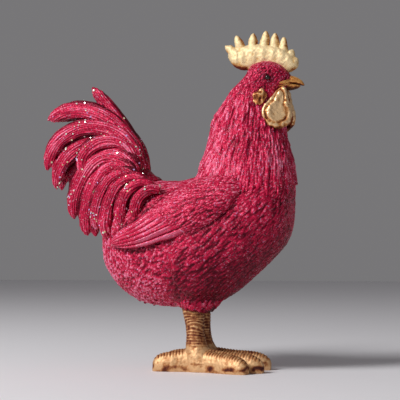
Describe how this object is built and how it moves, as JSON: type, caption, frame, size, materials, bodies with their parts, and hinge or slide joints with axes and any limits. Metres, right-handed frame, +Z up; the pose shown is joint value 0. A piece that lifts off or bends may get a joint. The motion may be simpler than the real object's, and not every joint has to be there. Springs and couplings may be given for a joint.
{
  "type": "rooster ornament",
  "caption": "Standing rooster ornament in glittered crimson resin, with gilded comb, beak, wattles, ear lobes, legs and feet and a fanned tail of curved feathers.",
  "frame": {"origin": "bottom centre of the bird's box, on the surface it stands on", "axes": "+X towards the beak, +Y to the bird's left, +Z up"},
  "size_m": [0.27, 0.1192, 0.3355],
  "materials": {
    "crimson_glitter_resin": "cast polyresin sprayed crimson and set with fine glitter",
    "gold_leaf": "cast resin with crumpled gold leaf over a red-brown ground",
    "antique_gold": "cast resin in antique gold, rubbed brown in the creases",
    "ochre_gold": "cast resin in satin ochre gold",
    "eye_glass": "polished dark bead",
    "rod_steel": "plain drawn rod"
  },
  "bodies": {
    "root": {"torso": "crimson_glitter_resin", "head_and_neck": "crimson_glitter_resin", "comb": "gold_leaf", "upper_beak": "ochre_gold", "lower_beak": "ochre_gold", "tail_core": "crimson_glitter_resin", "crest_feather": "crimson_glitter_resin", "right_wattle": "gold_leaf", "left_wattle": "gold_leaf", "right_ear_lobe": "gold_leaf", "left_ear_lobe": "gold_leaf", "right_eye": "eye_glass", "left_eye": "eye_glass", "right_wing": "crimson_glitter_resin", "left_wing": "crimson_glitter_resin", "right_leg": "antique_gold", "left_leg": "antique_gold", "right_leg_rod": "rod_steel", "left_leg_rod": "rod_steel", "right_top_sickle": "crimson_glitter_resin", "left_top_sickle": "crimson_glitter_resin", "right_great_sickle": "crimson_glitter_resin", "left_great_sickle": "crimson_glitter_resin", "right_under_sickle": "crimson_glitter_resin", "left_under_sickle": "crimson_glitter_resin", "right_short_sickle": "crimson_glitter_resin", "left_short_sickle": "crimson_glitter_resin", "right_tail_covert_1": "crimson_glitter_resin", "left_tail_covert_1": "crimson_glitter_resin", "right_tail_covert_2": "crimson_glitter_resin", "left_tail_covert_2": "crimson_glitter_resin", "right_tail_covert_3": "crimson_glitter_resin", "left_tail_covert_3": "crimson_glitter_resin", "right_saddle_feather_1": "crimson_glitter_resin", "left_saddle_feather_1": "crimson_glitter_resin", "right_saddle_feather_2": "crimson_glitter_resin", "left_saddle_feather_2": "crimson_glitter_resin", "right_saddle_feather_3": "crimson_glitter_resin", "left_saddle_feather_3": "crimson_glitter_resin"}
  },
  "joints": []
}
